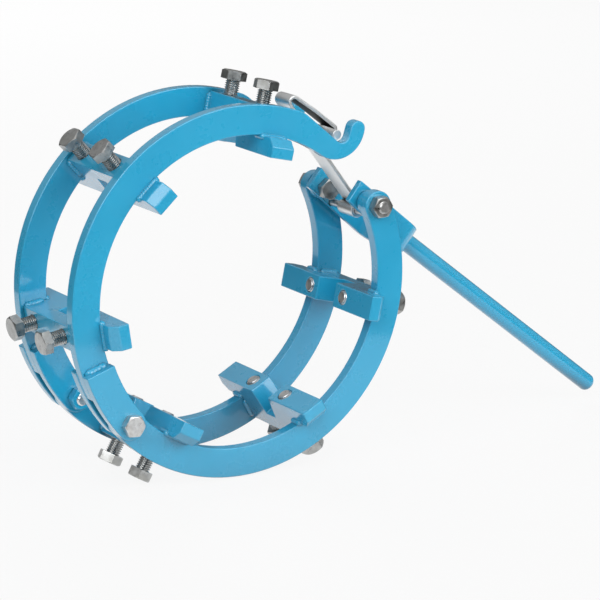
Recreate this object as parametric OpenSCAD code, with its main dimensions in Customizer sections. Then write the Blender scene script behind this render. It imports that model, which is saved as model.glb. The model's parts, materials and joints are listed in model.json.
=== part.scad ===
// Cage clamp: a hinged two-ring clamp that lines up the ends of two pipes for welding.
// The pipe axis is Y, Z is up, and the origin is on the pipe axis midway between the rings.

/* [Pipe] */
// Outside diameter of the pipe that the clamp holds
pipe_d = 219.1; // [200:0.1:230]
// Play between the pipe and the flat pads of the crossbars
pad_play = 0.9; // [0.3:0.1:3]

/* [Rings] */
// Outside diameter of both rings
ring_od = 300; // [290:1:320]
// Width of a ring, measured along the radius
ring_w = 24; // [20:1:28]
// Thickness of a ring plate
ring_t = 10; // [8:0.5:13]
// Distance between the middle planes of the two rings
ring_pitch = 92; // [88:1:110]

/* [Crossbars] */
// Width of a crossbar, measured round the ring
bar_w = 20; // [18:1:28]
// Length of a crossbar along the pipe
bar_l = 138; // [130:1:160]
// Height of the square end of a crossbar
bar_end_h = 9; // [5:0.5:12]
// Length of the taper at each end of a crossbar
bar_taper_l = 7; // [2:0.5:12]
// How far the middle of a crossbar lies below the outer edge of the rings
bar_drop = 3; // [1:0.5:8]
// Width of the weld relief at the pipe
relief_mouth = 26; // [16:1:30]
// Width of the weld relief at its floor
relief_floor = 14; // [8:1:20]
// Depth of the weld relief
relief_depth = 22; // [8:1:26]

/* [Jack bolts] */
// Thread diameter of a jack bolt
jack_d = 12; // [8:1:14]
// Length of a jack bolt below its head
jack_l = 50; // [46:1:70]
// Width of a jack bolt head across its flats
jack_af = 18; // [13:1:22]
// Height of a jack bolt head
jack_head_h = 7.5; // [5:0.5:10]
// Distance of a jack bolt from the middle of its crossbar
jack_y = 25.4; // [23:0.1:30]

/* [Hinge] */
// Place of the hinge round the ring
hinge_a = 221; // [216:0.5:224]
// Diameter of the hinge bolts
hinge_d = 10; // [8:1:12]
// Thickness of a hinge cheek
cheek_t = 9; // [6:0.5:11]
// How far the cheeks stand past both edges of the ring
cheek_lip = 0.5; // [0:0.5:4]
// Where the cheeks begin on the left half
cheek_a = 199; // [197:0.5:202]
// Where the left half of the ring ends inside the cheeks
left_end_a = 208; // [205:0.5:209]

/* [Hook] */
// Place of the hook round the ring
hook_a = 55; // [53:0.5:57]
// Radius of the round end of the hook
hook_r = 25.5; // [24.5:0.5:27]
// Radius of the tip of the hook finger
finger_r = 6.5; // [5.5:0.1:7]
// Place of the finger tip round the middle of the hook
finger_tip_a = -8; // [-12:1:-4]
// Radius of the throat of the hook
throat_r = 6.5; // [5.5:0.1:7]
// Slope of the ramp that leads down into the throat
ramp_a = 140; // [137:0.5:143]
// Radius that blends the ramp into the outer edge of the ring
ramp_blend_r = 30; // [15:1:50]

/* [Lever] */
// Place of the lever pivots round the ring
pivot_a = 24.4; // [18:0.1:28]
// Diameter of the lever pivot bolts
pivot_d = 10; // [8:1:12]
// Outside width of the yoke
yoke_w = 68; // [60:1:76]
// Thickness of the yoke strip
yoke_t = 6; // [5:0.5:8]
// Height of the yoke at its web
yoke_h = 22.5; // [21:0.5:30]
// Height of the web above the middle of the handle
yoke_top = 8.5; // [8:0.5:12]
// Height of the yoke legs at their free ends
leg_end_h = 19.5; // [19:0.5:26]
// Height of the free ends above the pivot
leg_end_top = 11; // [8:0.5:12]
// Length of the yoke behind the pivot
yoke_back = 15.5; // [12:0.5:24]
// Length of the yoke in front of the pivot
yoke_front = 63; // [50:0.5:75]
// Outside radius of the bends of the yoke
yoke_bend = 16; // [10:0.5:20]
// Slope of the closed yoke below the horizontal
yoke_slope = 37.6; // [30:0.1:45]
// Diameter of the handle bar
handle_d = 15; // [12:0.5:20]
// Length of the handle bar
handle_l = 257.5; // [150:0.5:320]
// Radius of the edge at the tip of the handle bar
handle_tip_r = 5; // [1:0.5:6]

/* [Latch] */
// Distance of the link pin from the lever pivot
link_r = 13; // [12:0.1:14]
// Diameter of the link pin
link_d = 6; // [5:0.5:6.5]
// How far the link pin swings past the line of pull
over_centre = 1; // [0:0.5:2]
// Distance of the latch bar from the lever pivot
latch_reach = 68; // [66:0.5:70]
// Diameter of the latch bar
latch_d = 8; // [6:0.5:9]
// Width of the latch strap
strap_w = 22; // [16:1:30]
// Thickness of the latch strap
strap_t = 3; // [2:0.5:4]
// Length of the straight leg of the strap
strap_leg = 112; // [109:1:115]
// Slope of the leg of the strap
strap_a = 127; // [126:0.5:129]
// Radius of the bend at the top of the strap
crook_r = 4; // [3.5:0.5:5]
// Turn of the bend at the top of the strap
crook_turn = 160; // [157:1:163]
// Radius of the curved back of the crook
back_r = 400; // [300:10:500]
// Turn of the curved back of the crook
back_turn = 6.4; // [5.6:0.1:7.2]
// Radius of the fold that turns the strap back to the latch bar
fold_r = 2.5; // [2.2:0.1:3]

/* [Clearances] */
// Radial clearance of a screw or pin in the piece that turns or slides on it
fit_gap = 0.05; // [0.02:0.01:0.1]
// Side gap between pieces that turn against each other
side_gap = 0.3; // [0.2:0.05:0.6]
// Gap that is left at a welded or bolted seat
seat_gap = 0.1; // [0.05:0.05:0.3]

/* [Hidden] */
$fn = 96;

// Places of the crossbars round the ring, in degrees from +X towards +Z
top_a = 77.3;
upper_left_a = 132.6;
left_a = 188.7;
bottom_a = 241.2;
lower_right_a = 299.4;
right_a = 348.5;

paint = "deepskyblue";
zinc = "silver";
bright = "gainsboro";

ring_ro = ring_od / 2;
ring_ri = ring_ro - ring_w;
ring_rm = ring_ro - ring_w / 2;
ring_y = ring_pitch / 2;
ring_in_y = ring_y - ring_t / 2;
ring_out_y = ring_y + ring_t / 2;
over = 1;
lap = 0.2;

// Crossbar levels, measured from the pipe axis
pad_r = pipe_d / 2 + pad_play;
block_r = ring_ro - bar_drop;
jack_chamfer = jack_d / 8;
head_bevel = 30;

// Hinge stack, measured from the middle plane of a ring
cheek_in = ring_t / 2 + side_gap;
cheek_out = cheek_in + cheek_t;
cheek_half_w = ring_w / 2 + cheek_lip;
nut_af_ratio = 1.6;
nut_h_ratio = 0.8;
head_h_ratio = 0.64;
tail_l = 2;

// Yoke frame: u runs along the yoke towards the handle, v is square to it
spacer_od = 2 * pivot_d;
yoke_out_y = yoke_w / 2;
yoke_in_y = yoke_out_y - yoke_t;

// Link pin and latch bar, on the line of pull past the lever pivot
pivot = polar(ring_rm, pivot_a);
pull_a = 119.4;
link_a = pull_a + 180 - asin(over_centre / link_r);
link = pivot + polar(link_r, link_a);
latch = pivot + polar(latch_reach, pull_a);
latch_bar_l = 2 * (ring_in_y - side_gap);

// Strap: its leg leaves the eye on the far side of the link pin and bends over at the top.
// The back of the crook returns over the hooks, and its folded end reaches in to the latch bar.
eye_r = link_d / 2 + fit_gap + strap_t / 2;
eye_wrap = 300;
crook_from = link + polar(eye_r, strap_a - 90) + polar(strap_leg, strap_a);
crook = crook_from + polar(crook_r, strap_a - 90);
back_a = strap_a - crook_turn;
fold_a = back_a - back_turn;
fold_from = crook + polar(crook_r - back_r, back_a + 90) + polar(back_r, fold_a + 90);
fold = fold_from + polar(fold_r, fold_a - 90);
fold_to_latch = norm(latch - fold);
fold_end_a = angle(latch - fold) - asin(fold_r / fold_to_latch);
fold_turn = (fold_a - fold_end_a + 360) % 360;
fold_end_l = sqrt(pow(fold_to_latch, 2) - pow(fold_r, 2)) - latch_d / 2 - seat_gap;

// Hook: the latch bar rests on the floor of the throat, which opens between the ramp and the finger.
// Sides cross the arcs by a hair, because sides that only touch leave no clean edge.
hook = polar(ring_ri + hook_r, hook_a);
hook_lap_a = 1;
ease = 0.05;
throat = latch + polar(throat_r - latch_d / 2 - side_gap, pull_a);
finger_tip = hook + polar(hook_r - finger_r + ease, finger_tip_a);
finger_a = angle(finger_tip - throat) + asin((throat_r + finger_r) / norm(finger_tip - throat));
finger_foot = throat + polar(throat_r - ease, finger_a - 90);
ramp_foot = throat + polar(throat_r - ease, ramp_a + 90);
// Middle of the blend, which touches the ramp and the outer edge of the ring
blend_from = ramp_foot + polar(ramp_blend_r, ramp_a + 90);
blend_reach = blend_from * polar(1, ramp_a);
blend_off = pow(norm(blend_from), 2) - pow(ring_ro - ramp_blend_r, 2);
blend = blend_from + polar(sqrt(pow(blend_reach, 2) - blend_off) - blend_reach, ramp_a);
hinge = polar(ring_rm, hinge_a);

function polar(r, a) = [r * cos(a), r * sin(a)];
function angle(way) = atan2(way[1], way[0]);

// Extrudes an outline, drawn in X and Z, along the pipe from y0 to y1
module plate(y0, y1) {
    translate([0, y1, 0])
        rotate([90, 0, 0])
            linear_extrude(y1 - y0)
                children();
}

// A cylinder along the pipe from y0 to y1, about a point in X and Z
module rod(point, d, y0, y1, sides = 96) {
    translate([point[0], y1, point[1]])
        rotate([90, 0, 0])
            cylinder(h = y1 - y0, d = d, $fn = sides);
}

// Part of a flat ring between two angles
module sector(r_in, r_out, a0, a1) {
    steps = 6;
    intersection() {
        difference() {
            circle(r_out);
            circle(r_in);
        }
        polygon(concat([[0, 0]], [for (i = [0:steps]) polar(2 * r_out, a0 + (a1 - a0) * i / steps)]));
    }
}

// The open throat of the hook
module throat() {
    reach = ring_ro;
    translate(throat)
        circle(throat_r);
    polygon([
        throat,
        ramp_foot,
        ramp_foot + polar(reach, ramp_a),
        finger_foot + polar(reach, finger_a),
        finger_foot
    ]);
}

// The corner that is trimmed where the ramp leaves the outer edge of the ring
module ramp_corner() {
    reach = 2 * ramp_blend_r;
    difference() {
        polygon([
            blend,
            blend + polar(reach, angle(blend)),
            blend + polar(reach, ramp_a - 90)
        ]);
        translate(blend)
            circle(ramp_blend_r + ease);
    }
}

// The round end of the hook, cut across the finger at the middle of its tip
module hook_end() {
    difference() {
        translate(hook)
            circle(hook_r);
        translate(finger_tip)
            rotate(finger_tip_a + 90)
                translate([ease, -2 * hook_r])
                    square(4 * hook_r);
    }
    translate(finger_tip)
        circle(finger_r);
}

module left_ring_outline() {
    difference() {
        union() {
            sector(ring_ri, ring_ro, hook_a + hook_lap_a, left_end_a);
            hook_end();
        }
        throat();
        ramp_corner();
    }
}

module right_ring_outline() {
    difference() {
        union() {
            sector(ring_ri, ring_ro, hinge_a, 360 + pivot_a);
            translate(hinge)
                circle(ring_w / 2);
            translate(pivot)
                circle(ring_w / 2);
        }
        translate(hinge)
            circle(d = hinge_d + 2 * fit_gap);
        translate(pivot)
            circle(d = pivot_d + 2 * seat_gap);
    }
}

module left_ring(side) {
    color(paint)
        plate(side * ring_y - ring_t / 2, side * ring_y + ring_t / 2)
            left_ring_outline();
}

module right_ring(side) {
    color(paint)
        plate(side * ring_y - ring_t / 2, side * ring_y + ring_t / 2)
            right_ring_outline();
}

// A hinge cheek, welded to the left half, on the near or far face of its ring
module cheek(side, face) {
    middle = side * ring_y + face * (cheek_in + cheek_out) / 2;
    color(paint)
        plate(middle - cheek_t / 2, middle + cheek_t / 2)
            difference() {
                union() {
                    sector(ring_rm - cheek_half_w, ring_rm + cheek_half_w, cheek_a, hinge_a);
                    translate(hinge)
                        circle(cheek_half_w);
                }
                translate(hinge)
                    circle(d = hinge_d + 2 * seat_gap);
            }
}

// Turns a shape drawn along +X out to the crossbar at one place round the ring
module at_bar(a) {
    rotate([0, -a, 0])
        children();
}

// Ends of a crossbar, inside the rings, with their tapered outer corners
module bar_strip() {
    end_y = bar_l / 2;
    taper_r = pad_r + bar_end_h;
    intersection() {
        linear_extrude(bar_w, center = true)
            polygon([
                [pad_r, -end_y],
                [taper_r, -end_y],
                [ring_ri, bar_taper_l - end_y],
                [ring_ri, end_y - bar_taper_l],
                [taper_r, end_y],
                [pad_r, end_y]
            ]);
        rotate([90, 0, 0])
            cylinder(h = bar_l + 2 * over, r = ring_ri - seat_gap, center = true, $fn = 180);
    }
}

// Deep block of a crossbar between the rings
module bar_block() {
    length = 2 * (ring_in_y - seat_gap);
    translate([pad_r, -length / 2, -bar_w / 2])
        cube([block_r - pad_r, length, bar_w]);
}

// Gap over the weld between the two pipes
module bar_relief() {
    slope = (relief_mouth - relief_floor) / 2 / relief_depth;
    linear_extrude(bar_w + 2 * over, center = true)
        polygon([
            [pad_r - over, -relief_mouth / 2 - over * slope],
            [pad_r + relief_depth, -relief_floor / 2],
            [pad_r + relief_depth, relief_floor / 2],
            [pad_r - over, relief_mouth / 2 + over * slope]
        ]);
}

module crossbar(a) {
    color(paint)
        at_bar(a)
            difference() {
                union() {
                    bar_strip();
                    bar_block();
                }
                bar_relief();
                for (side = [-1, 1])
                    translate([pad_r - over, side * jack_y, 0])
                        rotate([0, 90, 0])
                            cylinder(h = block_r - pad_r + 2 * over, d = jack_d + 2 * fit_gap);
            }
}

// A hexagon with its outer corners bevelled, standing on the XY plane
module hex_head(af, h) {
    corner_r = af / 2 / cos(30);
    bevel_h = (corner_r - af / 2) * tan(head_bevel);
    intersection() {
        cylinder(h = h, r = corner_r, $fn = 6);
        rotate_extrude()
            polygon([
                [0, 0],
                [corner_r, 0],
                [corner_r, h - bevel_h],
                [af / 2, h],
                [0, h]
            ]);
    }
}

// A hexagon nut with both rims bevelled and a bore
module hex_nut(af, h, bore) {
    corner_r = af / 2 / cos(30);
    bevel_h = (corner_r - af / 2) * tan(head_bevel);
    difference() {
        intersection() {
            cylinder(h = h, r = corner_r, $fn = 6);
            rotate_extrude()
                polygon([
                    [0, 0],
                    [af / 2, 0],
                    [corner_r, bevel_h],
                    [corner_r, h - bevel_h],
                    [af / 2, h],
                    [0, h]
                ]);
        }
        translate([0, 0, -over])
            cylinder(h = h + 2 * over, d = bore);
    }
}

// A shank with a bevelled end, from z = 0 up to z = length
module shank(d, length, bevel) {
    rotate_extrude()
        polygon([
            [0, 0],
            [d / 2 - bevel, 0],
            [d / 2, bevel],
            [d / 2, length],
            [0, length]
        ]);
}

module jack(a, side) {
    color(zinc)
        at_bar(a)
            translate([pipe_d / 2, side * jack_y, 0])
                rotate([0, 90, 0]) {
                    shank(jack_d, jack_l, jack_chamfer);
                    translate([0, 0, jack_l])
                        hex_head(jack_af, jack_head_h);
                }
}

// Places a screw drawn along Z: its z = 0 plane at y, pointing away from the middle on its own side
module outward(point, side, y) {
    translate([point[0], side * y, point[1]])
        rotate([-side * 90, 0, 0])
            children();
}

// Hinge bolt with its head outside and its tail inside the cage
module hinge_bolt(side) {
    head_y = ring_y + cheek_out + seat_gap;
    tail_y = ring_y - cheek_out - seat_gap - nut_h_ratio * hinge_d - tail_l;
    color(zinc)
        outward(hinge, side, tail_y) {
            shank(hinge_d, head_y - tail_y, hinge_d / 8);
            translate([0, 0, head_y - tail_y])
                hex_head(nut_af_ratio * hinge_d, head_h_ratio * hinge_d);
        }
}

module hinge_nut(side) {
    height = nut_h_ratio * hinge_d;
    color(zinc)
        outward(hinge, side, ring_y - cheek_out - seat_gap - height)
            hex_nut(nut_af_ratio * hinge_d, height, hinge_d + 2 * seat_gap);
}

// Lever pivot bolt with its head inside the yoke and its tail outside the ring
module pivot_bolt(side) {
    head_h = head_h_ratio * pivot_d;
    seat_y = yoke_in_y - side_gap;
    tail_y = ring_out_y + seat_gap + nut_h_ratio * pivot_d + tail_l;
    color(zinc)
        translate([pivot[0], side * tail_y, pivot[1]])
            rotate([side * 90, 0, 0]) {
                shank(pivot_d, tail_y - seat_y, pivot_d / 8);
                translate([0, 0, tail_y - seat_y])
                    hex_head(nut_af_ratio * pivot_d, head_h);
            }
}

module pivot_nut(side) {
    color(zinc)
        outward(pivot, side, ring_out_y + seat_gap)
            hex_nut(nut_af_ratio * pivot_d, nut_h_ratio * pivot_d, pivot_d + 2 * seat_gap);
}

// Bush that fills the space between the ring and the yoke
module pivot_spacer(side) {
    y0 = yoke_out_y + side_gap;
    color(paint)
        outward(pivot, side, y0)
            difference() {
                cylinder(h = ring_in_y - seat_gap - y0, d = spacer_od);
                translate([0, 0, -over])
                    cylinder(h = ring_in_y - y0 + 2 * over, d = pivot_d + 2 * seat_gap);
            }
}

// Moves a shape drawn in the yoke frame to its closed place
module in_yoke() {
    translate([pivot[0], 0, pivot[1]])
        rotate([0, yoke_slope, 0])
            children();
}

// Plan of the strip that is bent to a U, with its round corners
module yoke_plan(half_w, front, bend) {
    translate([-yoke_back, -half_w])
        square([yoke_back + front - bend, 2 * half_w]);
    translate([-yoke_back, bend - half_w])
        square([yoke_back + front, 2 * (half_w - bend)]);
    for (side = [-1, 1])
        translate([front - bend, side * (half_w - bend)])
            circle(bend);
}

// Side of the strip, whose legs narrow towards their free ends
module yoke_side() {
    polygon([
        [-yoke_back - over, leg_end_top - leg_end_h],
        [yoke_front + over, yoke_top - yoke_h],
        [yoke_front + over, yoke_top],
        [-yoke_back - over, leg_end_top]
    ]);
}

module lever_yoke() {
    color(paint)
        difference() {
            in_yoke()
                intersection() {
                    linear_extrude(4 * yoke_h, center = true)
                        difference() {
                            yoke_plan(yoke_out_y, yoke_front, yoke_bend);
                            translate([-over, 0])
                                yoke_plan(yoke_in_y, yoke_front - yoke_t + over, yoke_bend - yoke_t);
                        }
                    plate(-yoke_w, yoke_w)
                        yoke_side();
                }
            rod(pivot, pivot_d + 2 * fit_gap, -yoke_w, yoke_w);
            rod(link, link_d + 2 * seat_gap, -yoke_w, yoke_w);
        }
}

// Round bar with a rounded tip, butted against the yoke
module lever_handle() {
    r = handle_d / 2;
    color(paint)
        in_yoke()
            translate([yoke_front + seat_gap, 0, 0])
                rotate([0, 90, 0])
                    rotate_extrude() {
                        square([r, handle_l - handle_tip_r]);
                        square([r - handle_tip_r, handle_l]);
                        intersection() {
                            translate([r - handle_tip_r, handle_l - handle_tip_r])
                                circle(handle_tip_r);
                            square([r, handle_l]);
                        }
                    }
}

module link_pin() {
    color(zinc)
        rod(link, link_d, -yoke_out_y - tail_l, yoke_out_y + tail_l);
}

// Draws a strip along runs of [length, 0] and bends of [radius, turn].
// Each stretch starts a hair early, so that it laps over the one before it. Every other stretch
// is a hair thinner, so that the sides of a lap lie apart.
module strip(runs, i = 0) {
    if (i < len(runs)) {
        size = runs[i][0];
        turn = runs[i][1];
        half = strap_t / 2 - (i % 2) * ease;
        if (turn == 0) {
            translate([-lap, -half])
                square([size + lap, 2 * half]);
            translate([size, 0])
                strip(runs, i + 1);
        } else {
            side = sign(turn);
            lap_a = lap / size * 180 / PI;
            translate([0, side * size]) {
                if (side > 0)
                    sector(size - half, size + half, -90 - lap_a, turn - 90);
                else
                    sector(size - half, size + half, 90 + turn, 90 + lap_a);
                rotate(turn)
                    translate([0, -side * size])
                        strip(runs, i + 1);
            }
        }
    }
}

// Strap with a rolled eye round the link pin and a crook whose folded end carries the latch bar
module latch_strap() {
    runs = [
        [strap_leg, 0],
        [crook_r, -crook_turn],
        [back_r, -back_turn],
        [fold_r, -fold_turn],
        [fold_end_l, 0]
    ];
    color(bright)
        plate(-strap_w / 2, strap_w / 2)
            translate(link)
                rotate(strap_a) {
                    sector(eye_r - strap_t / 2 + ease, eye_r + strap_t / 2 - ease, -90 - eye_wrap, -90);
                    translate([0, -eye_r])
                        strip(runs);
                }
}

// Cross rod that the hooks catch
module latch_bar() {
    color(bright)
        rod(latch, latch_d, -latch_bar_l / 2, latch_bar_l / 2);
}

left_ring(-1);  // left_front_ring
left_ring(1);  // left_rear_ring
right_ring(-1);  // right_front_ring
right_ring(1);  // right_rear_ring
cheek(-1, -1);  // front_outer_cheek
cheek(-1, 1);  // front_inner_cheek
cheek(1, -1);  // rear_inner_cheek
cheek(1, 1);  // rear_outer_cheek
crossbar(top_a);  // top_crossbar
crossbar(upper_left_a);  // upper_left_crossbar
crossbar(left_a);  // left_crossbar
crossbar(bottom_a);  // bottom_crossbar
crossbar(lower_right_a);  // lower_right_crossbar
crossbar(right_a);  // right_crossbar
jack(top_a, -1);  // top_front_jack
jack(top_a, 1);  // top_rear_jack
jack(upper_left_a, -1);  // upper_left_front_jack
jack(upper_left_a, 1);  // upper_left_rear_jack
jack(left_a, -1);  // left_front_jack
jack(left_a, 1);  // left_rear_jack
jack(bottom_a, -1);  // bottom_front_jack
jack(bottom_a, 1);  // bottom_rear_jack
jack(lower_right_a, -1);  // lower_right_front_jack
jack(lower_right_a, 1);  // lower_right_rear_jack
jack(right_a, -1);  // right_front_jack
jack(right_a, 1);  // right_rear_jack
hinge_bolt(-1);  // front_hinge_bolt
hinge_bolt(1);  // rear_hinge_bolt
hinge_nut(-1);  // front_hinge_nut
hinge_nut(1);  // rear_hinge_nut
pivot_bolt(-1);  // front_pivot_bolt
pivot_bolt(1);  // rear_pivot_bolt
pivot_nut(-1);  // front_pivot_nut
pivot_nut(1);  // rear_pivot_nut
pivot_spacer(-1);  // front_pivot_spacer
pivot_spacer(1);  // rear_pivot_spacer
lever_yoke();
lever_handle();
link_pin();
latch_strap();
latch_bar();
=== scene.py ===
"""Looks of a hinged two-ring cage clamp: enamel, weld beads, threaded bolts, bright strap, stage."""

import json
import math
import random

import bmesh
import bpy
from bpy.props import FloatProperty, FloatVectorProperty, PointerProperty
from mathutils import Matrix, Quaternion, Vector


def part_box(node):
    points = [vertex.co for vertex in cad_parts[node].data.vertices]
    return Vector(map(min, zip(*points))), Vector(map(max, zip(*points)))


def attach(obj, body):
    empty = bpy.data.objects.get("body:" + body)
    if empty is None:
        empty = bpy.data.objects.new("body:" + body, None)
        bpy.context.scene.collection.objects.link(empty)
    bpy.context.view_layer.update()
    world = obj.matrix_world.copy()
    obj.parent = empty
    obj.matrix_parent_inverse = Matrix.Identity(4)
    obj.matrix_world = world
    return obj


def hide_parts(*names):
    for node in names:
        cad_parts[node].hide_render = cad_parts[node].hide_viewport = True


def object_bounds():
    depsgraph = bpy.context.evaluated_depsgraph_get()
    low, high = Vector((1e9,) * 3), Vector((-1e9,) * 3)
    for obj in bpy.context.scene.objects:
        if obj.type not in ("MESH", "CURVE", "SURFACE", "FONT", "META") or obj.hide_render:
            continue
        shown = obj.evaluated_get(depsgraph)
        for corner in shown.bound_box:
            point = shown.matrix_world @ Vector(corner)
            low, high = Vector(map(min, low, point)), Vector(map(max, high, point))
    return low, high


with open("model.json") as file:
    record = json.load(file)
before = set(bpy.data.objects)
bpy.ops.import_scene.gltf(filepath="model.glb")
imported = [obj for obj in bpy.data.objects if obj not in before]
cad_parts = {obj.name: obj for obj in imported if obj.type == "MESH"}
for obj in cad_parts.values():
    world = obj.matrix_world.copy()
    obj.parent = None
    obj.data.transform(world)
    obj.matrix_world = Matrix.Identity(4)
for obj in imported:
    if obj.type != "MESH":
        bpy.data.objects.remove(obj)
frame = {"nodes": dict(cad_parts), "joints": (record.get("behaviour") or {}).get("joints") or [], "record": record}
CAD_LOW, CAD_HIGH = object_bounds()

bl_info = {
    "name": "Cage Clamp",
    "version": (1, 0, 0),
    "blender": (4, 5, 0),
    "location": "3D View > Sidebar > Clamp",
    "description": "Finishes the pieces of a two-ring cage clamp and sets its stage",
    "category": "Object",
}

NODES = frame["nodes"]
JOINTS = {joint["name"]: joint for joint in frame["joints"]}
BODY_OF = {node: body for body, nodes in frame["record"]["behaviour"]["bodies"].items() for node in nodes}
MM = 0.001
PIPE_WAY = Vector((0.0, 1.0, 0.0))

# Places and sizes that the frame gives
PIVOT = Vector(JOINTS["lever_lift"]["pos_m"])
HINGE = Vector(JOINTS["swing"]["pos_m"])
LINK = Vector(JOINTS["latch_turn"]["pos_m"])
RING_OUT_R = -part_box("left_front_ring")[0].x
RING_MID_R = PIVOT.length
RING_IN_R = 2 * RING_MID_R - RING_OUT_R
RING_NEAR_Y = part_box("left_rear_ring")[0].y
RING_FAR_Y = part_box("left_rear_ring")[1].y
LATCH = (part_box("latch_bar")[0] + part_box("latch_bar")[1]) / 2
LATCH_R = (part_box("latch_bar")[1].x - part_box("latch_bar")[0].x) / 2
STRAP_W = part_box("latch_strap")[1].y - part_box("latch_strap")[0].y
MOUNTS = {mount["name"]: mount for mount in frame["record"]["mounts"]}

# Sizes of the CAD pieces that no box shows
BAR_W = 20 * MM
BAR_DROP = 3 * MM
CHEEK_START = math.radians(199)
LEFT_END = math.radians(208)
JACK_D = 12 * MM
JACK_AF = 18 * MM
JACK_HEAD_H = 7.5 * MM
SMALL_D = 10 * MM
SMALL_AF = 16 * MM
SMALL_HEAD_H = 6.4 * MM
STRAP_T = 3 * MM
STRAP_EYE_R = 4.55 * MM
STRAP_EYE_WRAP = math.radians(300)
STRAP_SLOPE = math.radians(127)
STRAP_LEG = 112 * MM
CROOK_R = 4 * MM
CROOK_TURN = math.radians(160)
BACK_R = 400 * MM
BACK_TURN = math.radians(6.4)
FOLD_R = 2.5 * MM
SEAT_GAP = 0.1 * MM

# Sizes of the threads, the bare ends, the edges and the welds, which only the looks have
JACK_PITCH = 1.75 * MM
JACK_TIP = JACK_D / 8
SMALL_PITCH = 1.5 * MM
SMALL_TIP = SMALL_D / 8
END_FACE = 0.01 * MM
PIN_EDGE = 0.6 * MM
SEAM_R = 1.2 * MM
LATCH_BEAD_R = 1.3 * MM
LATCH_BEAD_RIPPLE = 1.5 * MM
LATCH_BEAD_REACH = 0.8 * MM

# Shares of the bead radius and the ripple pitch at the hinge cheeks
CHEEK_BEAD = 1.25
CHEEK_RIPPLE = 1.6
SEAM_RIPPLE = 4.0

# Rays that each test for near faces uses
AO_SAMPLES = 6

BARS = ("top", "upper_left", "left", "bottom", "lower_right", "right")
SIDES = ("front", "rear")

# Joint, its axis, which way its bolts point, finish of bolt and nut, and the clean length at the bolt's end
BOLTED = (
    ("hinge", HINGE, 1, "clean_zinc", "blue_enamel", 0.0),
    # The pivot bolts and nuts take the darker zinc partly as painted shade, for the yoke's shadow that they sit
    # in.
    ("pivot", PIVOT, -1, "dull_and_shaded_zinc", "dull_and_shaded_zinc", END_FACE),
)

# The stage, in metres: where the camera and the lamps look, the floor, and what reflections see round it
CAMERA_TARGET = Vector((0.083604, 0.0, -0.026593))
SENSOR_MM = 36.0
LAMP_TARGET = Vector((0.05, 0.0, 0.0))
FLOOR_GAP = 0.5 * MM
FLOOR_HALF = 12.0
FLOOR_GREY = (0.60, 0.60, 0.60)
FLOOR_WHITE = 0.9
FLOOR_CLEAR = 0.9
WHITE = (1.0, 1.0, 1.0)
BLACK = (0.0, 0.0, 0.0)
SURROUND_LOW = (0.09, 0.09, 0.085)
SURROUND_HIGH = (0.46, 0.46, 0.46)
SURROUND_FADE = (0.2, 2.6)
SURROUND_LIFT = 1 * MM
SURROUND_BACK = 0.2

# Radius and height of the rings of the surround, from the floor up
SURROUND_RINGS = ((4.5, SURROUND_LIFT), (4.5, 1.5), (4.1, 2.8), (3.2, 4.0), (2.2, 4.8))

# Lamp, its place, its width, its share of the key power, and whether reflections show it
LAMPS = (
    ("left", (-2.2, -1.9, 2.0), 2.8, 1.28, True),
    ("right", (1.0, -2.5, 1.2), 2.0, 0.74, True),
    ("side", (2.6, -1.4, 0.9), 1.6, 0.35, False),
    ("back", (0.8, 2.6, 1.2), 1.6, 0.70, False),
)


class PaintSettings(bpy.types.PropertyGroup):
    """Colours and weld size of the painted frame."""

    enamel: FloatVectorProperty(
        name="Enamel", description="Colour of the enamel", subtype="COLOR", min=0, max=1,
        default=(0.017, 0.370, 0.610))
    enamel_deep: FloatVectorProperty(
        name="Deep enamel", description="Colour where the enamel lies thick", subtype="COLOR", min=0, max=1,
        default=(0.011, 0.338, 0.570))
    edge_round: FloatProperty(
        name="Edge radius", description="Rounding of the plate edges", unit="LENGTH", min=0, default=0.9 * MM)
    bead_r: FloatProperty(
        name="Bead radius", description="Radius of a weld bead", unit="LENGTH", min=0, default=2.6 * MM)
    ripple: FloatProperty(
        name="Ripple pitch", description="Distance between two ripples of a weld", unit="LENGTH", min=0,
        default=2.2 * MM)


class MetalSettings(bpy.types.PropertyGroup):
    """Colours of the bare metal pieces."""

    zinc: FloatVectorProperty(
        name="Zinc", description="Colour of the hinge bolts, the link pin and clean tips", subtype="COLOR",
        min=0, max=1,
        default=(0.80, 0.81, 0.815))
    # Darker zinc: a dull film on the jack bolts, and on the pivot bolts also painted shade.
    dull_and_shaded_zinc: FloatVectorProperty(
        name="Dull zinc", description="Colour of the jack and pivot bolts", subtype="COLOR", min=0, max=1,
        default=(0.52, 0.53, 0.525))
    steel: FloatVectorProperty(
        name="Steel", description="Colour of the bright strap", subtype="COLOR", min=0, max=1,
        default=(0.80, 0.81, 0.81))


class StageSettings(bpy.types.PropertyGroup):
    """Camera and light."""

    azimuth: FloatProperty(
        name="Azimuth", description="Camera turn about the object", subtype="ANGLE",
        default=math.radians(-31.22347))
    elevation: FloatProperty(
        name="Elevation", description="Camera height above the horizon", subtype="ANGLE",
        default=math.radians(13.86566))
    distance: FloatProperty(
        name="Distance", description="Camera distance from its target", unit="LENGTH", default=2.490742)
    roll: FloatProperty(
        name="Roll", description="Camera turn about its line of sight", subtype="ANGLE",
        default=math.radians(0.40637))
    lens: FloatProperty(
        name="Lens", description="Focal length in millimetres", default=183.1244)
    key_power: FloatProperty(
        name="Key light", description="Power that each lamp has a share of", unit="POWER", default=55.5)
    room_light: FloatProperty(
        name="Room light", description="Strength of the light from all round", min=0, default=0.30)
    white_r: FloatProperty(
        name="White floor", description="How far reflections see the white floor", unit="LENGTH", default=0.6)


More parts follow.
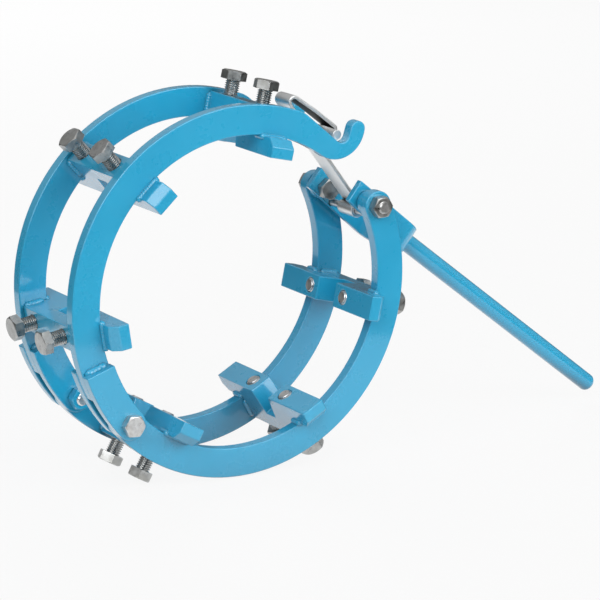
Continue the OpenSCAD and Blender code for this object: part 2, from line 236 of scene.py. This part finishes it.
class Wire:
    """A shader socket that takes part in Python arithmetic."""

    def __init__(self, graph, socket):
        self.graph = graph
        self.socket = socket

    def maths(self, operation, first, second):
        """Adds a Math node on two values or wires."""
        return self.graph.add("ShaderNodeMath", {"operation": operation}, {0: first, 1: second})

    def __add__(self, other):
        return self.maths("ADD", self, other)

    def __radd__(self, other):
        return self.maths("ADD", other, self)

    def __sub__(self, other):
        return self.maths("SUBTRACT", self, other)

    def __rsub__(self, other):
        return self.maths("SUBTRACT", other, self)

    def __mul__(self, other):
        return self.maths("MULTIPLY", self, other)

    def __rmul__(self, other):
        return self.maths("MULTIPLY", other, self)

    def clamped(self):
        """Keeps the value between 0 and 1."""
        return self.graph.add("ShaderNodeClamp", {}, {"Value": self})


class Graph:
    """The nodes of a material or world and the shader that they feed."""

    def __init__(self, holder, shader="Principled BSDF"):
        holder.use_nodes = True
        self.holder = holder
        self.tree = holder.node_tree
        self.shader = self.tree.nodes[shader]

    def add(self, kind, settings=None, inputs=None, out=0):
        """Adds a node, sets it up, feeds its sockets and returns one of its outputs."""
        node = self.tree.nodes.new(kind)
        for name, value in (settings or {}).items():
            setattr(node, name, value)
        for name, value in (inputs or {}).items():
            self.feed(node.inputs[name], value)
        return Wire(self, node.outputs[out])

    def feed(self, socket, value):
        """Links a wire to a socket, or sets the socket to a plain value."""
        if isinstance(value, Wire):
            self.tree.links.new(value.socket, socket)
        elif socket.type == "RGBA" and len(value) == 3:
            socket.default_value = (*value, 1.0)
        else:
            socket.default_value = value

    def surface(self, **inputs):
        """Feeds the shader's own sockets, named with underscores for spaces."""
        for name, value in inputs.items():
            self.feed(self.shader.inputs[name.replace("_", " ")], value)
        return self.holder

    def place(self):
        """Where a point lies in the shared frame of the pieces."""
        return self.add("ShaderNodeTexCoord", out="Object")

    def hollows(self, reach, own=True, inside=False):
        """Runs from 0 on open faces to 1 deep in corners and folds, its own or those with other pieces."""
        settings = {"inside": inside, "only_local": own, "samples": AO_SAMPLES}
        return 1.0 - self.add("ShaderNodeAmbientOcclusion", settings, {"Distance": reach}, out="AO")

    def edges(self, reach):
        """Runs from 0 on open faces to 1 at outer edges."""
        return self.hollows(reach, inside=True)

    def rays(self, kind):
        """Is 1 for one kind of ray and 0 for the others."""
        return self.add("ShaderNodeLightPath", out=f"Is {kind} Ray")

    def mirrored(self):
        """Is 1 for rays from a mirror or a glass."""
        return self.rays("Glossy") + self.rays("Transmission")

    def seen(self):
        """Is 1 for rays from the camera, a mirror or a glass, and 0 for those that light the object."""
        return (self.rays("Camera") + self.mirrored()).clamped()

    def noise(self, place, scale, detail=2.0, roughness=0.5):
        """Soft patches, about scale of them to the metre."""
        inputs = {"Vector": place, "Scale": scale, "Detail": detail, "Roughness": roughness}
        return self.add("ShaderNodeTexNoise", {}, inputs)

    def ramp(self, value, low, high):
        """Runs from 0 at low to 1 at high."""
        inputs = {"Value": value, "From Min": low, "From Max": high}
        return self.add("ShaderNodeMapRange", {"clamp": True}, inputs)

    def mix(self, share, first, second):
        """Mixes two colours."""
        settings = {"data_type": "RGBA"}
        return self.add("ShaderNodeMix", settings, {0: share, 6: first, 7: second}, out=2)

    def stretched(self, place, scale):
        """A place that runs faster or slower along each axis."""
        return self.add("ShaderNodeMapping", {}, {"Vector": place, "Scale": scale})

    def bump(self, height, distance, strength):
        """A normal that follows small heights."""
        inputs = {"Height": height, "Distance": distance, "Strength": strength}
        return self.add("ShaderNodeBump", {}, inputs)


def toned(colour, share, lift=0.0):
    """A colour made darker or lighter by a share and a lift."""
    return tuple(min(1.0, share * part + lift) for part in colour)


def blue_enamel(paint):
    """Gloss enamel: thick and thin patches, orange peel, dust nibs, thin edges, haze, and painted shade in corners
    and between pieces.
    """
    g = Graph(bpy.data.materials.new("blue_enamel"))
    place = g.place()
    enamel = tuple(paint.enamel)
    deep = tuple(paint.enamel_deep)
    edge = g.ramp(g.edges(1.4 * MM), low=0.06, high=0.5)
    thick = g.ramp(g.noise(place, scale=11.0, detail=3.0), low=0.34, high=0.66)
    haze = g.ramp(g.noise(place, scale=52.0, detail=4.0, roughness=0.65), low=0.42, high=0.72)
    peel = g.noise(place, scale=330.0)
    nib = g.ramp(g.noise(place, scale=900.0), low=0.70, high=0.80)
    rub = edge * g.ramp(g.noise(place, scale=240.0, detail=4.0, roughness=0.6), low=0.40, high=0.62)
    # Painted shade: the enamel darkens towards a near-black blue in corners and where other pieces stand close.
    painted_corner_shade = g.ramp(g.hollows(60 * MM, own=False), low=0.32, high=0.80)
    colour = g.mix(thick, enamel, deep)
    colour = g.mix(0.6 * rub, colour, toned(enamel, share=0.86, lift=0.05))
    colour = g.mix(0.75 * painted_corner_shade, colour, toned(deep, share=0.25, lift=0.012))
    rough = 0.27 + 0.08 * haze + 0.12 * rub
    coat = 0.95 - 0.4 * rub - 0.1 * haze
    height = 0.8 * peel + 0.3 * nib
    return g.surface(
        Base_Color=colour, Roughness=rough, IOR=1.5, Coat_Weight=coat, Coat_Roughness=0.08, Coat_IOR=1.6,
        Normal=g.bump(height, distance=0.04 * MM, strength=0.12))


def plated(name, zinc):
    """Plated screws with a dull mottled film, warm stains, bright edges and fine scratches."""
    g = Graph(bpy.data.materials.new(name))
    place = g.place()
    edge = g.ramp(g.edges(0.7 * MM), low=0.10, high=0.5)
    mottle = g.ramp(g.noise(place, scale=210.0, detail=4.0, roughness=0.6), low=0.32, high=0.70)
    stain = g.ramp(g.noise(place, scale=75.0, detail=3.0), low=0.44, high=0.66)
    scratch = g.noise(place, scale=1500.0)
    warm = tuple(0.6 * part * tint for part, tint in zip(zinc, (1.0, 0.94, 0.82)))
    colour = g.mix(mottle, toned(zinc, share=0.62), zinc)
    colour = g.mix(0.35 * stain, colour, warm)
    colour = g.mix(0.6 * edge, colour, toned(zinc, share=1.3))
    rough = 0.24 + 0.14 * mottle + 0.12 * stain - 0.08 * edge
    height = 0.6 * mottle + 0.4 * scratch
    return g.surface(
        Base_Color=colour, Roughness=rough, Metallic=1.0,
        Normal=g.bump(height, distance=0.06 * MM, strength=0.4))


def strip_steel(metal):
    """Rolled strip steel with lengthwise drawing lines, smudges, dark edges and painted shade in its folds."""
    g = Graph(bpy.data.materials.new("strip_steel"))
    place = g.place()
    steel = tuple(metal.steel)
    edge = g.ramp(g.edges(0.8 * MM), low=0.15, high=0.6)
    # Painted shade: the steel turns near black, and rougher, deep in the strap's folds.
    painted_fold_shade = g.ramp(g.hollows(45 * MM), low=0.15, high=0.45)
    drawn = g.stretched(place, (30.0, 1600.0, 30.0))
    lines = g.noise(drawn, scale=1.0, detail=3.0, roughness=0.6)
    smudge = g.ramp(g.noise(place, scale=40.0), low=0.40, high=0.75)
    colour = g.mix(0.4 * smudge, steel, toned(steel, share=0.70))
    colour = g.mix(0.35 * edge, colour, toned(steel, share=0.5))
    colour = g.mix(0.95 * painted_fold_shade, colour, (0.060, 0.060, 0.055))
    rough = 0.36 + 0.08 * lines + 0.08 * smudge + 0.15 * painted_fold_shade
    return g.surface(
        Base_Color=colour, Roughness=rough, Metallic=1.0,
        Normal=g.bump(lines, distance=0.02 * MM, strength=0.1))


def material_of(name):
    """The finished material of that name, made when it is first asked for."""
    made = bpy.data.materials.get(name)
    if made:
        return made
    scene = bpy.context.scene
    if name == "blue_enamel":
        return blue_enamel(scene.clamp_paint)
    if name == "strip_steel":
        return strip_steel(scene.clamp_metal)
    tones = {"clean_zinc": scene.clamp_metal.zinc, "dull_and_shaded_zinc": scene.clamp_metal.dull_and_shaded_zinc}
    return plated(name, tuple(tones[name]))


def dress(node, material, edge_round):
    """Gives a CAD piece its finish and rounded edges, which its own mesh doesn't have."""
    obj = NODES[node]
    obj.data.materials.clear()
    obj.data.materials.append(material)
    obj.data.polygons.foreach_set("use_smooth", [True] * len(obj.data.polygons))
    weld = obj.modifiers.new("join corners", "WELD")
    weld.merge_threshold = 0.15 * MM
    flat = obj.modifiers.new("whole faces", "DECIMATE")
    flat.decimate_type = "DISSOLVE"
    flat.angle_limit = math.radians(0.3)
    edge = obj.modifiers.new("round edges", "BEVEL")
    edge.width = edge_round
    edge.segments = 3
    edge.limit_method = "ANGLE"
    edge.angle_limit = math.radians(32)
    edge.use_clamp_overlap = False
    normals = obj.modifiers.new("even shading", "WEIGHTED_NORMAL")
    normals.keep_sharp = True
    return obj


def new_piece(name, bm, material, body, sharp=35):
    """Turns a bmesh into a piece that rides on a body."""
    mesh = bpy.data.meshes.new(name)
    bmesh.ops.recalc_face_normals(bm, faces=bm.faces)
    bm.to_mesh(mesh)
    bm.free()
    mesh.polygons.foreach_set("use_smooth", [True] * len(mesh.polygons))
    mesh.set_sharp_from_angle(angle=math.radians(sharp))
    mesh.materials.append(material)
    obj = bpy.data.objects.new(name, mesh)
    bpy.context.scene.collection.objects.link(obj)
    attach(obj, body)
    return obj


def polar(radius, angle, y=0.0):
    """A point round the pipe axis."""
    return Vector((radius * math.cos(angle), y, radius * math.sin(angle)))


def along(points, step):
    """Points at even steps on a path of straight stretches, with the length to each."""
    found = []
    done = 0.0
    for start, end in zip(points, points[1:]):
        count = max(1, round((end - start).length / step))
        for i in range(count):
            found.append((start.lerp(end, i / count), done + (end - start).length * i / count))
        done += (end - start).length
    found.append((points[-1], done))
    return found


def grow_bead(bm, points, radius, ripple, draw):
    """Adds a weld bead, a rippled tube with tapered ends, along a path of points."""
    sides = 10
    waist = 0.92
    swell = 0.10
    uneven = 0.05
    blunt = 0.35
    taper = 1.2 * radius
    spots = along(points, ripple / 4)
    total = spots[-1][1]
    rings = []
    for i, (spot, length) in enumerate(spots):
        before = spots[max(0, i - 1)][0]
        after = spots[min(len(spots) - 1, i + 1)][0]
        way = (after - before).normalized()
        first = way.orthogonal().normalized() if not rings else (first - way * first.dot(way)).normalized()
        second = way.cross(first)
        wave = swell * abs(math.sin(math.pi * length / ripple)) + uneven * draw.uniform(-1, 1)
        end = min(1.0, blunt + min(length, total - length) / taper)
        size = radius * end * (waist + wave)
        ring = []
        for k in range(sides):
            turn = 2 * math.pi * k / sides
            ring.append(bm.verts.new(spot + size * (math.cos(turn) * first + math.sin(turn) * second)))
        rings.append(ring)
    skin(bm, rings)
    bm.faces.new(rings[0])
    bm.faces.new(rings[-1])


def skin(bm, rings):
    """Faces between each ring of points and the next."""
    for low, high in zip(rings, rings[1:]):
        count = len(low)
        for k in range(count):
            n = (k + 1) % count
            bm.faces.new((low[k], low[n], high[n], high[k]))


def bar_angle(bar):
    """The direction of a crossbar from the pipe axis."""
    axis = JOINTS[bar + "_front_feed"]["axis"]
    return math.atan2(axis[2], axis[0])


def bar_beads(bar, radius):
    """Paths of the welds that hold a crossbar to both rings."""
    angle = bar_angle(bar)
    out = polar(1.0, angle)
    across = polar(1.0, angle + math.pi / 2)
    half = BAR_W / 2
    paths = []
    for side in (-1, 1):
        near = PIPE_WAY * side * (RING_NEAR_Y - 0.3 * radius)
        far = PIPE_WAY * side * (RING_FAR_Y + 0.2 * radius)
        seat = out * (RING_IN_R - 0.5 * radius)
        paths.append([
            seat - across * half + near, seat - across * half + far,
            seat + across * half + far, seat + across * half + near])
        for edge in (-half, half):
            paths.append([
                out * (RING_IN_R + radius) + across * edge + near,
                out * (RING_OUT_R - BAR_DROP - 0.5 * radius) + across * edge + near])
    return paths


def cheek_beads(side, radius):
    """Paths of the welds across the ring where the cheeks of one hinge begin."""
    paths = []
    for face in (RING_NEAR_Y - 0.2 * radius, RING_FAR_Y + 0.2 * radius):
        low = polar(RING_IN_R + 0.8 * radius, CHEEK_START, side * face)
        high = polar(RING_OUT_R - 0.8 * radius, CHEEK_START, side * face)
        paths.append([low, high])
    return paths


def cheek_seams(side, radius):
    """Paths of the ground welds that close the seams between the cheeks and the rims of the ring."""
    count = 12
    paths = []
    for face in (RING_NEAR_Y, RING_FAR_Y):
        for rim in (RING_IN_R + 0.6 * radius, RING_OUT_R - 0.6 * radius):
            turns = [CHEEK_START + (LEFT_END - CHEEK_START) * i / count for i in range(count + 1)]
            paths.append([polar(rim, turn, side * face) for turn in turns])
    return paths


def hex_radius(angle, flats):
    """Distance from the middle of a hexagon to its side in one direction."""
    sixth = math.pi / 3
    return flats / 2 / math.cos((angle + sixth / 2) % sixth - sixth / 2)


def hex_block(bm, flats, low, high, low_bevel=False, bore=0.0):
    """A hexagon head or nut from z = low to z = high, with its bevelled corners."""
    count = 96
    slope = math.tan(math.radians(30))
    rim = 0.475 * flats
    turns = [2 * math.pi * k / count for k in range(count)]

    def ring(radius_of, height_of):
        spots = []
        for turn in turns:
            r = radius_of(turn)
            spots.append(bm.verts.new((r * math.cos(turn), r * math.sin(turn), height_of(r))))
        return spots

    def side_r(turn):
        return hex_radius(turn, flats)

    def bevelled(plane, sign, on):
        return lambda r: plane - sign * (max(0.0, r - rim) * slope if on else 0.0)

    inner = bore if bore else 0.30 * flats
    rings = [
        ring(lambda turn: inner, lambda r: low),
        ring(lambda turn: rim, lambda r: low),
        ring(side_r, bevelled(low, -1, low_bevel)),
        ring(side_r, bevelled(high, 1, True)),
        ring(lambda turn: rim, lambda r: high),
        ring(lambda turn: inner, lambda r: high),
    ]
    if bore:
        rings.append(rings[0])
    skin(bm, rings)
    if not bore:
        bm.faces.new(rings[0])
        bm.faces.new(rings[-1])


def threaded_shank(bm, diameter, pitch, length, bevel):
    """A screw thread from z = 0 up to z = length, with a bevelled end at z = 0."""
    count = 32
    rows_per_turn = 8
    depth = 0.58 * pitch
    rows = math.ceil(length / pitch * rows_per_turn)
    rings = []
    for i in range(rows + 1):
        z = length * i / rows
        ring = []
        for k in range(count):
            turn = 2 * math.pi * k / count
            phase = (z / pitch - k / count) % 1.0
            crest = min(1.0, max(0.0, 1.5 - abs(2 * phase - 1.0) * 2.4))
            r = diameter / 2 - depth * (1.0 - crest)
            r = min(r, diameter / 2 - bevel + z)
            ring.append(bm.verts.new((r * math.cos(turn), r * math.sin(turn), z)))
        rings.append(ring)
    skin(bm, rings)
    bm.faces.new(rings[0])
    bm.faces.new(rings[-1])


def strap_path():
    """Points on the middle of the strap with the heading at each, from its eye to its folded end."""
    found = []
    step = math.radians(5)

    def bend(spot, heading, radius, turn):
        """Turns left round a bend, or right where turn is negative, and returns the place after it."""
        side = math.copysign(math.pi / 2, turn)
        middle = spot + polar(radius, heading + side)
        count = max(2, round(abs(turn) / step))
        for i in range(1, count + 1):
            now = heading + turn * i / count
            found.append((middle + polar(radius, now - side), now))
        return found[-1]

    def run(spot, heading, length):
        """Goes straight on and returns the place after it."""
        count = max(2, round(length / (4 * MM)))
        for i in range(1, count + 1):
            found.append((spot + polar(length * i / count, heading), heading))
        return found[-1]

    heading = STRAP_SLOPE - STRAP_EYE_WRAP
    spot = LINK + polar(STRAP_EYE_R, heading - math.pi / 2)
    found.append((spot, heading))
    spot, heading = bend(spot, heading, STRAP_EYE_R, STRAP_EYE_WRAP)
    spot, heading = run(spot, heading, STRAP_LEG)
    spot, heading = bend(spot, heading, CROOK_R, -CROOK_TURN)
    spot, heading = bend(spot, heading, BACK_R, -BACK_TURN)
    to_latch = LATCH - spot - polar(FOLD_R, heading - math.pi / 2)
    reach = to_latch.length
    last = math.atan2(to_latch.z, to_latch.x) - math.asin(FOLD_R / reach)
    spot, heading = bend(spot, heading, FOLD_R, -((heading - last) % (2 * math.pi)))
    run(spot, heading, math.sqrt(reach ** 2 - FOLD_R ** 2) - LATCH_R - SEAT_GAP)
    return found


def sweep_strap(bm, path):
    """Sweeps a flat bar with rounded edges along a path."""
    edge_r = 0.7 * MM
    corner_steps = 4
    last = len(path) - 1
    rings = []
    for i, (spot, heading) in enumerate(path):
        trim = edge_r if i in (0, last) else 0.0
        half_w = STRAP_W / 2 - trim
        half_t = STRAP_T / 2 - 0.6 * trim
        radius = edge_r - 0.5 * trim
        outward = polar(1.0, heading + math.pi / 2)
        ring = []
        for quarter, (sy, st) in enumerate(((1, 1), (-1, 1), (-1, -1), (1, -1))):
            for k in range(corner_steps + 1):
                turn = math.pi / 2 * (quarter + k / corner_steps)
                y = sy * (half_w - radius) + radius * math.cos(turn)
                t = st * (half_t - radius) + radius * math.sin(turn)
                ring.append(bm.verts.new(spot + PIPE_WAY * y + outward * t))
        rings.append(ring)
    skin(bm, rings)
    bm.faces.new(rings[0])
    bm.faces.new(rings[-1])


def span(node, way):
    """How far a CAD piece reaches along a direction, from lowest to highest."""
    reach = [corner.co.dot(way) for corner in NODES[node].data.vertices]
    return min(reach), max(reach)


def screw_piece(node, name, finish, build, foot, way, turn, tip=0.0):
    """A screw or nut, made along Z and moved to its foot, that stands for a CAD node.

    Its faces closer to the foot than tip are worn clean.
    """
    bm = bmesh.new()
    build(bm)
    pointed = way.to_track_quat("Z", "Y").to_matrix().to_4x4()
    bm.transform(Matrix.Translation(foot) @ pointed @ Matrix.Rotation(turn, 4, "Z"))
    obj = new_piece(name, bm, material_of(finish), BODY_OF[node], sharp=28)
    if tip:
        obj.data.materials.append(material_of("clean_zinc"))
        for face in obj.data.polygons:
            if (face.center - foot).dot(way) < tip:
                face.material_index = 1
    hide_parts(node)


class CLAMP_OT_rings(bpy.types.Operator):
    """Finish the four half rings and the hinge cheeks in enamel"""

    bl_idname = "clamp.rings"
    bl_label = "Rings and Cheeks"

    def execute(self, context):
        paint = context.scene.clamp_paint
        enamel = material_of("blue_enamel")
        for node in NODES:
            if node.endswith("_ring") or node.endswith("_cheek"):
                dress(node, enamel, paint.edge_round)
        return {"FINISHED"}


class CLAMP_OT_crossbars(bpy.types.Operator):
    """Finish the six crossbars in enamel"""

    bl_idname = "clamp.crossbars"
    bl_label = "Crossbars"

    def execute(self, context):
        paint = context.scene.clamp_paint
        for bar in BARS:
            dress(bar + "_crossbar", material_of("blue_enamel"), paint.edge_round)
        return {"FINISHED"}


class CLAMP_OT_welds(bpy.types.Operator):
    """Lay the weld beads of the crossbars and the hinge cheeks"""

    bl_idname = "clamp.welds"
    bl_label = "Weld Beads"

    def execute(self, context):
        paint = context.scene.clamp_paint
        draw = random.Random(7)
        for bar in BARS:
            bm = bmesh.new()
            for path in bar_beads(bar, paint.bead_r):
                grow_bead(bm, path, paint.bead_r, paint.ripple, draw)
            body = BODY_OF[bar + "_crossbar"]
            new_piece(bar + "_welds", bm, material_of("blue_enamel"), body, sharp=80)
        for side, label in zip((-1, 1), SIDES):
            bm = bmesh.new()
            for path in cheek_beads(side, paint.bead_r):
                grow_bead(bm, path, CHEEK_BEAD * paint.bead_r, CHEEK_RIPPLE * paint.ripple, draw)
            for path in cheek_seams(side, SEAM_R):
                grow_bead(bm, path, SEAM_R, SEAM_RIPPLE * paint.ripple, draw)
            body = BODY_OF[label + "_outer_cheek"]
            new_piece(label + "_cheek_welds", bm, material_of("blue_enamel"), body, sharp=80)
        return {"FINISHED"}


class CLAMP_OT_jacks(bpy.types.Operator):
    """Cut the threads and heads of the twelve jack bolts"""

    bl_idname = "clamp.jacks"
    bl_label = "Jack Bolts"

    def execute(self, context):
        draw = random.Random(3)
        for bar in BARS:
            way = polar(1.0, bar_angle(bar))
            for side in SIDES:
                node = f"{bar}_{side}_jack"
                low, high = span(node, way)
                length = high - low - JACK_HEAD_H
                y = sum(corner.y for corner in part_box(node)) / 2

                def build(bm, length=length, total=high - low):
                    threaded_shank(bm, JACK_D, JACK_PITCH, length, JACK_TIP)
                    hex_block(bm, JACK_AF, length, total)

                foot = way * low + PIPE_WAY * y
                turn = draw.uniform(0, 1)
                screw_piece(node, f"{bar}_{side}_bolt", "dull_and_shaded_zinc", build, foot, way, turn, JACK_TIP)
        return {"FINISHED"}


class CLAMP_OT_pivots(bpy.types.Operator):
    """Cut the hinge and lever pivot bolts with their nuts, and finish the spacers"""

    bl_idname = "clamp.pivots"
    bl_label = "Hinge and Pivot Bolts"

    def execute(self, context):
        draw = random.Random(11)
        paint = context.scene.clamp_paint
        for side, label in zip((-1, 1), SIDES):
            for joint, spot, outward, bolt_finish, nut_finish, tip in BOLTED:
                node = f"{label}_{joint}_bolt"
                way = PIPE_WAY * side * outward
                low, high = span(node, way)
                axis = Vector((spot.x, 0.0, spot.z))

                def build(bm, total=high - low):
                    threaded_shank(bm, SMALL_D, SMALL_PITCH, total - SMALL_HEAD_H, SMALL_TIP)
                    hex_block(bm, SMALL_AF, total - SMALL_HEAD_H, total)

                foot = axis + way * low
                turn = draw.uniform(0, 1)
                screw_piece(node, node + "_thread", bolt_finish, build, foot, way, turn, tip)
                node = f"{label}_{joint}_nut"
                low, high = span(node, way)

                def build_nut(bm, height=high - low):
                    hex_block(bm, SMALL_AF, 0.0, height, low_bevel=True, bore=SMALL_D / 2)

                foot = axis + way * low
                turn = draw.uniform(0, 1)
                screw_piece(node, node + "_hex", nut_finish, build_nut, foot, way, turn)
            dress(label + "_pivot_spacer", material_of("blue_enamel"), 0.5 * paint.edge_round)
        return {"FINISHED"}


class CLAMP_OT_lever(bpy.types.Operator):
    """Finish the yoke and the handle, and weld them together"""

    bl_idname = "clamp.lever"
    bl_label = "Lever"

    def execute(self, context):
        paint = context.scene.clamp_paint
        enamel = material_of("blue_enamel")
        dress("lever_yoke", enamel, paint.edge_round)
        dress("lever_handle", enamel, 0.5 * paint.edge_round)
        mount = MOUNTS["handle_bar"]
        way = Vector(mount["axis"])
        up = way.cross(PIPE_WAY)
        radius = mount["dims"]["r_mm"] * MM
        start = Vector(mount["pos_m"]) - way * mount["dims"]["length_mm"] / 2 * MM
        foot = start + way * 0.2 * paint.bead_r
        count = 40
        turns = [2 * math.pi * i / count for i in range(count + 1)]
        path = [foot + radius * (math.cos(t) * up + math.sin(t) * PIPE_WAY) for t in turns]
        bm = bmesh.new()
        grow_bead(bm, path, paint.bead_r, paint.ripple, random.Random(5))
        new_piece("handle_weld", bm, enamel, "lever", sharp=80)
        return {"FINISHED"}


class CLAMP_OT_latch(bpy.types.Operator):
    """Finish the strap, the latch bar and the link pin"""

    bl_idname = "clamp.latch"
    bl_label = "Latch"

    def execute(self, context):
        steel = material_of("strip_steel")
        path = strap_path()
        bm = bmesh.new()
        sweep_strap(bm, path)
        strap = new_piece("strap_strip", bm, steel, "latch", sharp=50)
        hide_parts("latch_strap")
        end, heading = path[-1]
        draw = random.Random(13)
        bm = bmesh.new()
        reach = PIPE_WAY * (STRAP_W / 2 - STRAP_T)
        for face in (-1, 1):
            aside = polar(face * 0.45 * STRAP_T, heading + math.pi / 2)
            seat = end + polar(LATCH_BEAD_REACH, heading) + aside
            grow_bead(bm, [seat - reach, seat + reach], LATCH_BEAD_R, LATCH_BEAD_RIPPLE, draw)
        new_piece("latch_weld", bm, steel, "latch", sharp=80)
        dress("latch_bar", steel, PIN_EDGE)
        dress("link_pin", material_of("clean_zinc"), PIN_EDGE)
        return {"FINISHED"}


def lamp(name, place, size, power, mirrored):
    """A square soft box that looks at the object, and shows in reflections where mirrored is true."""
    light = bpy.data.lights.new(name, "AREA")
    light.shape = "SQUARE"
    light.size = size
    light.energy = power
    obj = bpy.data.objects.new(name, light)
    obj.location = place
    obj.rotation_mode = "QUATERNION"
    obj.rotation_quaternion = (LAMP_TARGET - Vector(place)).to_track_quat("-Z", "Y")
    obj.visible_glossy = mirrored
    bpy.context.scene.collection.objects.link(obj)


def white_room(light):
    """A world that is plain white where it is seen, and soft light elsewhere."""
    g = Graph(bpy.data.worlds.new("studio"), "Background")
    bpy.context.scene.world = g.surface(Color=WHITE, Strength=light + (1.0 - light) * g.seen())


def stage_piece(name, bm, material):
    """A piece of the stage, which isn't part of the object."""
    mesh = bpy.data.meshes.new(name)
    bm.to_mesh(mesh)
    bm.free()
    mesh.materials.append(material)
    obj = bpy.data.objects.new(name, mesh)
    bpy.context.scene.collection.objects.link(obj)
    return obj


def pale_floor(height):
    """A pale floor that reads as white and keeps a soft shadow.

    The open half of the clamp hangs below it, so the camera sees through it.
    """
    g = Graph(bpy.data.materials.new("pale_floor"))
    g.surface(Base_Color=FLOOR_GREY, Roughness=0.8, Specular_IOR_Level=0.1)
    lit = Wire(g, g.shader.outputs[0])
    white = g.add("ShaderNodeEmission", {}, {"Color": WHITE, "Strength": 1.0})
    bright = g.add("ShaderNodeMixShader", {}, {0: FLOOR_WHITE * g.mirrored(), 1: lit, 2: white})
    clear = g.add("ShaderNodeBsdfTransparent")
    through = (FLOOR_CLEAR * g.rays("Camera") + g.rays("Shadow")).clamped()
    both = g.add("ShaderNodeMixShader", {}, {0: through, 1: bright, 2: clear})
    g.feed(g.tree.nodes["Material Output"].inputs["Surface"], both)
    bm = bmesh.new()
    bmesh.ops.create_grid(bm, x_segments=1, y_segments=1, size=FLOOR_HALF)
    stage_piece("floor", bm, g.holder).location.z = height


def grey_surround(height, inner):
    """A grey surround beyond the white floor, which only shows in reflections."""
    g = Graph(bpy.data.materials.new("grey_surround"))
    above = g.add("ShaderNodeSeparateXYZ", {}, {"Vector": g.place()}, out="Z")
    shade = g.mix(g.ramp(above, *SURROUND_FADE), SURROUND_LOW, SURROUND_HIGH)
    g.surface(Base_Color=BLACK, Specular_IOR_Level=0.0, Emission_Color=shade, Emission_Strength=1.0)
    bm = bmesh.new()
    count = 64
    turns = [2 * math.pi * k / count for k in range(count)]
    rings = []
    for radius, z in ((inner, SURROUND_LIFT), *SURROUND_RINGS):
        rings.append([bm.verts.new((radius * math.cos(t), radius * math.sin(t), z)) for t in turns])
    skin(bm, rings)
    obj = stage_piece("surround", bm, g.holder)
    obj.location = (0.0, SURROUND_BACK * inner, height)
    obj.visible_camera = False
    obj.visible_diffuse = False
    obj.visible_transmission = False
    obj.visible_shadow = False


def set_camera(scene, stage):
    """A camera on its target, turned and raised as the settings say."""
    a = stage.azimuth
    e = stage.elevation
    back = Vector((math.sin(a) * math.cos(e), -math.cos(a) * math.cos(e), math.sin(e)))
    data = bpy.data.cameras.new("camera")
    data.lens = stage.lens
    data.sensor_width = SENSOR_MM
    camera = bpy.data.objects.new("camera", data)
    camera.location = CAMERA_TARGET + back * stage.distance
    camera.rotation_mode = "QUATERNION"
    aimed = (-back).to_track_quat("-Z", "Y")
    camera.rotation_quaternion = aimed @ Quaternion((0.0, 0.0, 1.0), stage.roll)
    scene.collection.objects.link(camera)
    scene.camera = camera


class CLAMP_OT_stage(bpy.types.Operator):
    """Set the floor, the light and the camera"""

    bl_idname = "clamp.stage"
    bl_label = "Stage"

    def execute(self, context):
        stage = context.scene.clamp_stage
        context.scene.view_settings.view_transform = "Standard"
        ground = CAD_LOW.z - FLOOR_GAP
        white_room(stage.room_light)
        pale_floor(ground)
        grey_surround(ground, stage.white_r)
        for name, place, size, share, mirrored in LAMPS:
            lamp(name, place, size, share * stage.key_power, mirrored)
        set_camera(context.scene, stage)
        return {"FINISHED"}


OPERATORS = (
    CLAMP_OT_stage, CLAMP_OT_rings, CLAMP_OT_crossbars, CLAMP_OT_welds,
    CLAMP_OT_jacks, CLAMP_OT_pivots, CLAMP_OT_lever, CLAMP_OT_latch)


class CLAMP_PT_panel(bpy.types.Panel):
    """Lists the steps in the sidebar"""

    bl_idname = "CLAMP_PT_panel"
    bl_label = "Cage Clamp"
    bl_space_type = "VIEW_3D"
    bl_region_type = "UI"
    bl_category = "Clamp"

    def draw(self, context):
        for group in ("clamp_paint", "clamp_metal", "clamp_stage"):
            settings = getattr(context.scene, group)
            for name in settings.bl_rna.properties.keys():
                if name not in ("rna_type", "name"):
                    self.layout.prop(settings, name)
        for operator in OPERATORS:
            self.layout.operator(operator.bl_idname)


CLASSES = (PaintSettings, MetalSettings, StageSettings, *OPERATORS, CLAMP_PT_panel)


def register():
    for cls in CLASSES:
        bpy.utils.register_class(cls)
    bpy.types.Scene.clamp_paint = PointerProperty(type=PaintSettings)
    bpy.types.Scene.clamp_metal = PointerProperty(type=MetalSettings)
    bpy.types.Scene.clamp_stage = PointerProperty(type=StageSettings)


def unregister():
    del bpy.types.Scene.clamp_stage
    del bpy.types.Scene.clamp_metal
    del bpy.types.Scene.clamp_paint
    for cls in reversed(CLASSES):
        bpy.utils.unregister_class(cls)


def main():
    register()
    bpy.ops.clamp.stage()
    bpy.ops.clamp.rings()
    bpy.ops.clamp.crossbars()
    bpy.ops.clamp.welds()
    bpy.ops.clamp.jacks()
    bpy.ops.clamp.pivots()
    bpy.ops.clamp.lever()
    bpy.ops.clamp.latch()


if __name__ == "__main__":
    main()
